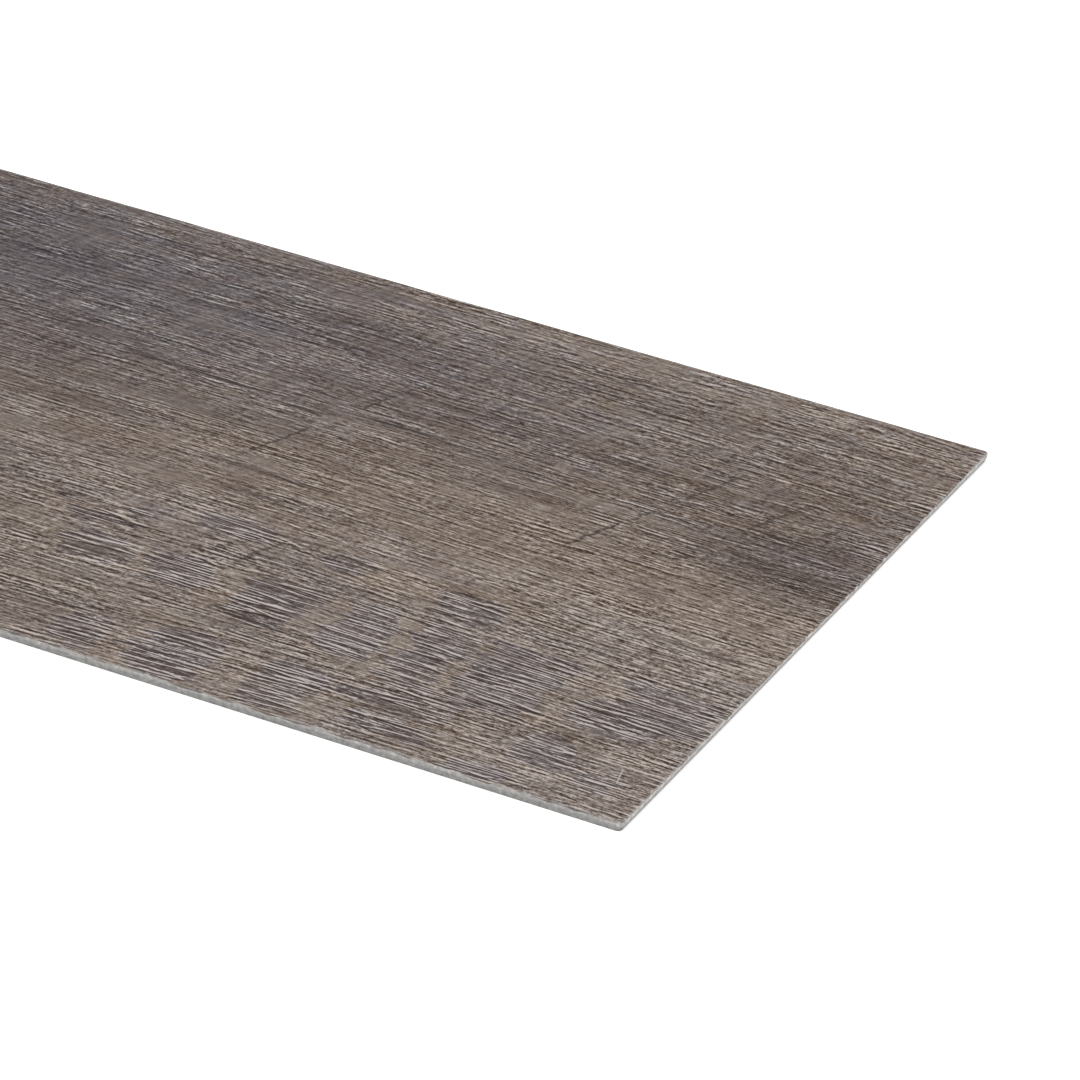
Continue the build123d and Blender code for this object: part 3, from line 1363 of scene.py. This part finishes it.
@dataclass
class VinylPlank:
    """The plank: one sheet, pressed with a grain plate and punched out with a cutting die.

    Attributes:
        low: the lowest corner of its box.
        high: the highest corner of its box.
        grain: the run of the grain that is pressed into it.
        corner_radius: the round of its corners in plan.
        rollover_radius: the round that the die leaves along the face's rim.
        undercut_height: how high the part of the cut reaches that leans in under the face.
        end_undercut: how far the underside stands back from the face at the short ends.
        side_undercut: how far it stands back along the long sides.
        emboss_depth: how deep a pore is pressed.
        flat_ring: where the first ring round the face lies, in corner radii.
        columns: how many spans the face has along the grain.
        rows: how many spans the face has across the grain.
        corner_steps: how many spans go round a corner.
        roll_steps: how many spans go down the rolled rim.
        printed_rings: how many rings of the rim the print covers.
        cut_rings: how many rings at its foot have a crisp edge.
        chart: its bake map.
    """

    low: Vector
    high: Vector
    grain: OakGrain
    corner_radius: float = 1.0 * MM
    rollover_radius: float = 0.25 * MM
    undercut_height: float = 1.2 * MM
    end_undercut: float = 0.55 * MM
    side_undercut: float = 0.16 * MM
    emboss_depth: float = 0.07 * MM
    flat_ring: float = 0.45
    columns: int = 196
    rows: int = 440
    corner_steps: int = 4
    roll_steps: int = 4
    printed_rings: int = 4
    cut_rings: int = 2
    chart: BakeMap = BakeMap()

    def face_grid(self) -> np.ndarray:
        """Lay out the flat face inside its rim.

        Returns:
            Points row by row from the near edge, each row from the -X end.
        """
        r = self.corner_radius
        x = np.linspace(self.low.x + r, self.high.x - r, self.columns + 1)
        y = np.linspace(self.low.y + r, self.high.y - r, self.rows + 1)
        across, along = np.meshgrid(y, x, indexing="ij")
        return np.stack([along, across, np.full_like(along, self.high.z)], axis=-1).reshape(-1, 3)

    def rim_walk(self) -> tuple[np.ndarray, np.ndarray, np.ndarray]:
        """Walk once round the face's grid, anticlockwise from above, from its near left corner.

        Returns:
            The grid point at each step, the heading outward there, and the side that the step is on.
        """
        wide, deep = self.columns + 1, self.rows + 1
        sides = (
            np.arange(wide),
            np.arange(deep) * wide + self.columns,
            self.rows * wide + np.arange(wide)[::-1],
            np.arange(deep)[::-1] * wide,
        )
        turn = np.arange(1, self.corner_steps) * math.pi / 2 / self.corner_steps
        points, headings, numbers = [], [], []
        for number, side in enumerate(sides):
            out = (number - 1) * math.pi / 2
            points += [side, np.repeat(side[-1], len(turn))]
            headings += [np.full(len(side), out), out + turn]
            numbers += [np.full(len(side) + len(turn), number)]
        return np.concatenate(points), np.concatenate(headings), np.concatenate(numbers)

    def rim_section(self) -> np.ndarray:
        """Draw the rim's section, from the flat face over the rolled edge and down the cut.

        Returns:
            A row for each ring: how far out it is, how high it is, and its shares of relief and undercut.
        """
        r, roll, top = self.corner_radius, self.rollover_radius, self.high.z
        angles = np.arange(1, self.roll_steps + 1) * math.pi / 2 / self.roll_steps
        flat = [(self.flat_ring * r, top, 1.0, 0.0), (r - roll, top, 1.0, 0.0)]
        rolled = [
            (r - roll + roll * math.sin(a), top - roll + roll * math.cos(a), math.cos(a), 0.0) for a in angles
        ]
        cut = [(r, self.low.z + self.undercut_height, 0.0, 0.0), (r, self.low.z, 0.0, 1.0)]
        return np.array(flat + rolled + cut)

    def build(self, layout: OakPrint) -> bpy.types.Object:
        """Build the sheet with its print, relief and finishes.

        Args:
            layout: the printed picture.

        Returns:
            The plank.
        """
        mesh = bpy.data.meshes.new("vinyl_plank")
        self.shape(mesh)
        self.print_on(mesh, layout)
        plank = bpy.data.objects.new("vinyl_plank", mesh)
        bpy.context.scene.collection.objects.link(plank)
        self.press(plank)
        self.dress(plank, layout)
        return plank

    def shape(self, mesh: bpy.types.Mesh) -> None:
        """Build the flat sheet with its rim, cut, underside and bake map.

        Args:
            mesh: takes the shape.
        """
        grid, (steps, headings, sides), section = self.face_grid(), self.rim_walk(), self.rim_section()
        outward = np.stack([np.cos(headings), np.sin(headings)], axis=1)
        leans_in = np.array([self.end_undercut, self.side_undercut])
        rings = []
        for reach, height, _, undercut in section:
            ring = grid[steps]
            ring[:, :2] += reach * outward - undercut * leans_in * np.sign(ring[:, :2])
            ring[:, 2] = height
            rings.append(ring)
        points = np.concatenate([grid, *rings])
        count = len(steps)
        levels = [steps] + [len(grid) + k * count + np.arange(count) for k in range(len(section))]

        wide = self.columns + 1
        first = (np.arange(self.rows)[:, None] * wide + np.arange(self.columns)).ravel()
        faces = [np.stack([first, first + 1, first + 1 + wide, first + wide], axis=1)]
        maps = [self.map_flat(points[faces[0]], *self.chart.face)]
        skins = [np.full(len(first), Skin.FACE.value)]

        here, after = self.strip_ends(rings[-1], sides)
        falls = np.linalg.norm(np.diff(section[self.printed_rings - 1:, :2], axis=0), axis=1)
        drop = np.concatenate([[0], np.cumsum(falls)])
        for k in range(len(section)):
            inner, outer = levels[k], levels[k + 1]
            strip = np.stack([inner, outer, np.roll(outer, -1), np.roll(inner, -1)], axis=1)
            below = k - self.printed_rings
            if below < 0:
                skin, chart = Skin.FACE, self.map_flat(points[strip], *self.chart.face)
            else:
                v = 1 - drop[[below, below + 1, below + 1, below]] / drop[-1]
                u = np.stack([here, here, after, after], axis=1)
                skin, chart = Skin.EDGE, self.chart.strip(u, np.broadcast_to(v, u.shape), sides[:, None])
            whole = strip[:, 0] != strip[:, 3]
            for part, corners in ((whole, [0, 1, 2, 3]), (~whole, [0, 1, 2])):
                faces.append(strip[part][:, corners])
                maps.append(chart[part][:, corners])
                skins.append(np.full(part.sum(), skin.value))

        for part in self.underside(levels[-1]):
            faces.append(part)
            maps.append(self.map_flat(points[part], *self.chart.back))
            skins.append(np.full(len(part), Skin.BACK.value))

        mesh.from_pydata(points.tolist(), [], [face for part in faces for face in part.tolist()])
        places = np.concatenate([part.reshape(-1) for part in maps]).astype(np.float32)
        mesh.uv_layers.new(name=self.chart.name).uv.foreach_set("vector", places)
        mesh.polygons.foreach_set("material_index", np.concatenate(skins).astype(np.int32))
        mesh.shade_smooth()
        ends = np.empty(len(mesh.edges) * 2, dtype=np.int32)
        mesh.edges.foreach_get("vertices", ends)
        level = (ends.reshape(-1, 2) - len(grid)) // count
        crisp = (level[:, 0] == level[:, 1]) & (level[:, 0] >= len(section) - self.cut_rings)
        mesh.attributes.new("sharp_edge", "BOOLEAN", "EDGE").data.foreach_set("value", crisp)
        pressed = np.concatenate([np.ones(len(grid)), np.repeat(section[:, 2], count)]).astype(np.float32)
        mesh.attributes.new("pressed", "FLOAT", "POINT").data.foreach_set("value", pressed)

    def strip_ends(self, ring: np.ndarray, sides: np.ndarray) -> tuple[np.ndarray, np.ndarray]:
        """Place each step round the rim along its own side's strip of the bake map.

        Args:
            ring: the point at each step.
            sides: the side that each step is on.

        Returns:
            Where on its strip each step lies, and where the next step lies on it, from 0 to 1.
        """
        spans = np.linalg.norm(np.roll(ring, -1, axis=0) - ring, axis=1)
        ends = np.cumsum(spans)
        starts = ends - spans
        side_start = np.array([starts[sides == s][0] for s in range(4)])[sides]
        side_length = np.array([spans[sides == s].sum() for s in range(4)])[sides]
        return (starts - side_start) / side_length, (ends - side_start) / side_length

    def underside(self, back: np.ndarray) -> tuple[np.ndarray, np.ndarray, np.ndarray]:
        """Close the underside: a ladder between the long sides, and one face at each end.

        Args:
            back: the points round its rim.

        Returns:
            The ladder's faces, the +X end's face and the -X end's face.
        """
        wide = self.columns + 1
        far_start = wide + self.rows + 1 + 2 * (self.corner_steps - 1)
        near, far = back[:wide], back[far_start:far_start + wide][::-1]
        ladder = np.stack([near[:-1], far[:-1], far[1:], near[1:]], axis=1)
        right = back[wide - 1:far_start + 1][::-1]
        left = np.append(back[far_start + wide - 1:], back[0])[::-1]
        return ladder, right[None, :], left[None, :]

    def map_flat(self, points: np.ndarray, v_low: float, v_high: float) -> np.ndarray:
        """Map the face or the underside from above, stretched so that the fine direction gets most pixels.

        Args:
            points: the points to map.
            v_low: the map's lowest v.
            v_high: the map's highest v.

        Returns:
            A place on the map for each point.
        """
        u = (points[..., 0] - self.low.x) / (self.high.x - self.low.x)
        v = (points[..., 1] - self.low.y) / (self.high.y - self.low.y)
        u = self.chart.left + self.chart.width * u
        return np.stack([u, v_low + (v_high - v_low) * v], axis=-1)

    def print_on(self, mesh: bpy.types.Mesh, layout: OakPrint) -> None:
        """Store the printed picture's layout on the sheet.

        Args:
            mesh: the sheet.
            layout: the printed picture.
        """
        points = np.empty(len(mesh.vertices) * 3, dtype=np.float32)
        mesh.vertices.foreach_get("co", points)
        x, y = (points.reshape(-1, 3)[:, :2] / MM).T
        row_mm = (self.high.y - self.low.y) / self.rows / MM
        for name, values in layout.read(x, y, row_mm).items():
            mesh.attributes.new(name, "FLOAT", "POINT").data.foreach_set("value", values.astype(np.float32))

    def press(self, plank: bpy.types.Object) -> None:
        """Press the grain plate's pores into the sheet, and keep the pressed shape.

        Args:
            plank: the flat sheet.
        """
        tree = bpy.data.node_groups.new("grain_plate", "GeometryNodeTree")
        for direction in ("INPUT", "OUTPUT"):
            tree.interface.new_socket("Sheet", in_out=direction, socket_type="NodeSocketGeometry")
        sheet = add_node(tree, "NodeGroupInput")
        x, y, _ = TreeUse.RELIEF.place_mm(tree)
        grooves = self.grain.grooves(tree, x, self.grain.flow(tree, x, y))
        pressed = add_node(tree, "GeometryNodeInputNamedAttribute", ("pressed",), data_type="FLOAT")
        depth = add_node(tree, MATH, (grooves, pressed), operation="MULTIPLY")
        depth = add_node(tree, MATH, (depth, -self.emboss_depth), operation="MULTIPLY")
        offset = add_node(tree, "ShaderNodeCombineXYZ", {"Z": depth})
        sheet = add_node(tree, "GeometryNodeSetPosition", {"Geometry": sheet, "Offset": offset})
        add_node(tree, "NodeGroupOutput", (sheet,))
        plank.modifiers.new("grain_plate", "NODES").node_group = tree
        graph = bpy.context.evaluated_depsgraph_get()
        flat = plank.data
        plank.data = bpy.data.meshes.new_from_object(
            plank.evaluated_get(graph), preserve_all_data_layers=True, depsgraph=graph
        )
        plank.modifiers.clear()
        bpy.data.meshes.remove(flat)
        plank.data.name = plank.name

    def dress(self, plank: bpy.types.Object, layout: OakPrint) -> None:
        """Give the sheet its finishes.

        Args:
            plank: the pressed sheet.
            layout: the printed picture.
        """
        plank.data.materials.append(EmbossedFace().material(self.grain, layout))
        sizes = {"undercut_mm": self.undercut_height, "top_mm": self.high.z, "end_mm": self.high.x}
        edge = DieCutEdge(**{name: size / MM for name, size in sizes.items()})
        plank.data.materials.append(edge.material())
        plank.data.materials.append(ReleasePaper().material())


@dataclass(frozen=True)
class Softbox:
    """A square soft lamp that the camera doesn't see.

    Attributes:
        name: the lamp's name.
        place: where it hangs.
        aim: what it points at.
        size: its width.
        power: its power, in watts.
    """

    name: str
    place: tuple[float, float, float]
    aim: tuple[float, float, float]
    size: float
    power: float

    def hang(self) -> None:
        """Hang the lamp."""
        light = bpy.data.lights.new(self.name, "AREA")
        light.size, light.energy = self.size, self.power
        lamp = bpy.data.objects.new(self.name, light)
        lamp.location = self.place
        heading = Vector(self.aim) - Vector(self.place)
        lamp.rotation_euler = heading.to_track_quat("-Z", "Y").to_euler()
        lamp.visible_camera = False
        bpy.context.scene.collection.objects.link(lamp)


@dataclass(frozen=True)
class Studio:
    """A pale floor under soft light: one wide lamp overhead and a weaker one off the plank's +X end.

    Attributes:
        floor_size: the floor's width.
        floor_drop: how far the floor lies below the plank.
        floor_tone: the floor's colour.
        glow: what lifts the floor to white where it is seen.
        fill: the light that comes from all round.
        lamps: the lamps.
    """

    floor_size: float = 40.0
    floor_drop: float = 0.05 * MM
    floor_tone: str = "#E6E6E6"
    glow: float = 0.55
    fill: float = 0.39
    lamps: tuple[Softbox, ...] = (
        Softbox("overhead_softbox", (0.2, -0.3, 2.6), (0.3, 0.0, 0.0), 2.6, 54.0),
        Softbox("end_softbox", (2.6, -0.5, 0.9), (0.4, 0.0, 0.0), 1.4, 13.5),
    )

    def build(self) -> bpy.types.Object:
        """Set up the floor, the world and the lamps.

        Returns:
            The floor.
        """
        bpy.context.scene.view_settings.view_transform = "Standard"
        self.light_world()
        for lamp in self.lamps:
            lamp.hang()
        mesh = bpy.data.meshes.new("floor")
        half = self.floor_size / 2
        corners = [(-half, -half), (half, -half), (half, half), (-half, half)]
        mesh.from_pydata([(x, y, -self.floor_drop) for x, y in corners], [], [(0, 1, 2, 3)])
        mesh.materials.append(self.floor_paint())
        floor = bpy.data.objects.new("floor", mesh)
        bpy.context.scene.collection.objects.link(floor)
        return floor

    def seen(self, tree: Tree) -> Socket:
        """Tell what is seen from what only lights.

        Args:
            tree: the tree that asks.

        Returns:
            1 for what the camera sees, straight, in a reflection or through glass, and 0 for the rest.
        """
        path = add_node(tree, "ShaderNodeLightPath").node.outputs
        either = add_node(tree, MATH, (path["Is Camera Ray"], path["Is Glossy Ray"]), operation="MAXIMUM")
        return add_node(tree, MATH, (either, path["Is Transmission Ray"]), operation="MAXIMUM")

    def light_world(self) -> None:
        """Fill the studio with even light, white where it is seen."""
        world = bpy.data.worlds.new("studio")
        world.use_nodes = True
        tree = world.node_tree
        tree.nodes.clear()
        strength = add_node(tree, MIX, {SHARE: self.seen(tree), VALUE_A: self.fill, VALUE_B: 1.0})
        light = add_node(tree, "ShaderNodeBackground", {"Color": (1.0, 1.0, 1.0, 1.0), "Strength": strength})
        add_node(tree, "ShaderNodeOutputWorld", (light,))
        bpy.context.scene.world = world

    def floor_paint(self) -> bpy.types.Material:
        """Paint the floor: matt and pale, white where it is seen in full light, and clear from below.

        Returns:
            The material.
        """
        made = bpy.data.materials.new("studio_floor_matt_paint")
        made.use_nodes = True
        tree = made.node_tree
        tree.nodes.clear()
        paint = add_node(tree, "ShaderNodeBsdfDiffuse", {"Color": linear_colour(self.floor_tone)})
        lift = add_node(tree, MATH, (self.seen(tree), self.glow), operation="MULTIPLY")
        glow = add_node(tree, "ShaderNodeEmission", {"Strength": lift})
        top = add_node(tree, "ShaderNodeAddShader", (paint, glow))
        below = add_node(tree, "ShaderNodeNewGeometry", out="Backfacing")
        clear = add_node(tree, "ShaderNodeBsdfTransparent")
        both = add_node(tree, "ShaderNodeMixShader", (below, top, clear))
        add_node(tree, "ShaderNodeOutputMaterial", (both,))
        return made


@dataclass(frozen=True)
class PhotoCamera:
    """The photograph's camera, which looks down along the plank onto its +X end.

    Attributes:
        azimuth_deg: how far round the plank it stands.
        elevation_deg: how high it looks from.
        lens_mm: its lens.
        sensor_mm: its square frame's width.
        clip: how near and how far it sees.
        from_end: how far its aim lies from the plank's +X end.
        from_middle: how far its aim lies past the plank's middle line.
        distance: how far it stands from its aim.
    """

    azimuth_deg: float = 29.347
    elevation_deg: float = 32.152
    lens_mm: float = 267.9
    sensor_mm: float = 36.0
    clip: tuple[float, float] = (0.05, 100.0)
    from_end: float = 62.13 * MM
    from_middle: float = 3.085 * MM
    distance: float = 1580.95 * MM

    def build(self, plank: VinylPlank) -> bpy.types.Object:
        """Stand the camera up.

        Args:
            plank: the plank it looks at.

        Returns:
            The camera.
        """
        turn, rise = math.radians(self.azimuth_deg), math.radians(self.elevation_deg)
        right = Vector((math.cos(turn), math.sin(turn), 0.0))
        back = Vector((math.sin(turn) * math.cos(rise), -math.cos(turn) * math.cos(rise), math.sin(rise)))
        aim = Vector((plank.high.x - self.from_end, self.from_middle, plank.high.z))
        lens = bpy.data.cameras.new("photo_camera")
        lens.lens, lens.sensor_width = self.lens_mm, self.sensor_mm
        lens.clip_start, lens.clip_end = self.clip
        camera = bpy.data.objects.new("photo_camera", lens)
        turned = Matrix((right, back.cross(right), back)).transposed()
        camera.matrix_world = Matrix.Translation(aim + self.distance * back) @ turned.to_4x4()
        bpy.context.scene.collection.objects.link(camera)
        bpy.context.scene.camera = camera
        return camera


def main() -> None:
    """Build the plank, the studio and the camera."""
    logging.basicConfig(level=logging.INFO, format="%(name)s: %(message)s")
    low, high = (Vector(corner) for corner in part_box("plank"))
    plank = VinylPlank(low, high, OakGrain())
    layout = OakPrint((high.x - low.x) / MM, (high.y - low.y) / MM)
    sheet = plank.build(layout)
    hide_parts("plank")
    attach(sheet, "root")
    log.info("%s: %d faces, %d saw scars", sheet.name, len(sheet.data.polygons), len(layout.scars))
    floor = Studio().build()
    log.info("%s: %.0f m wide", floor.name, floor.dimensions.x)
    camera = PhotoCamera().build(plank)
    log.info("%s: %.1f mm lens", camera.name, camera.data.lens)


if __name__ == "__main__":
    main()
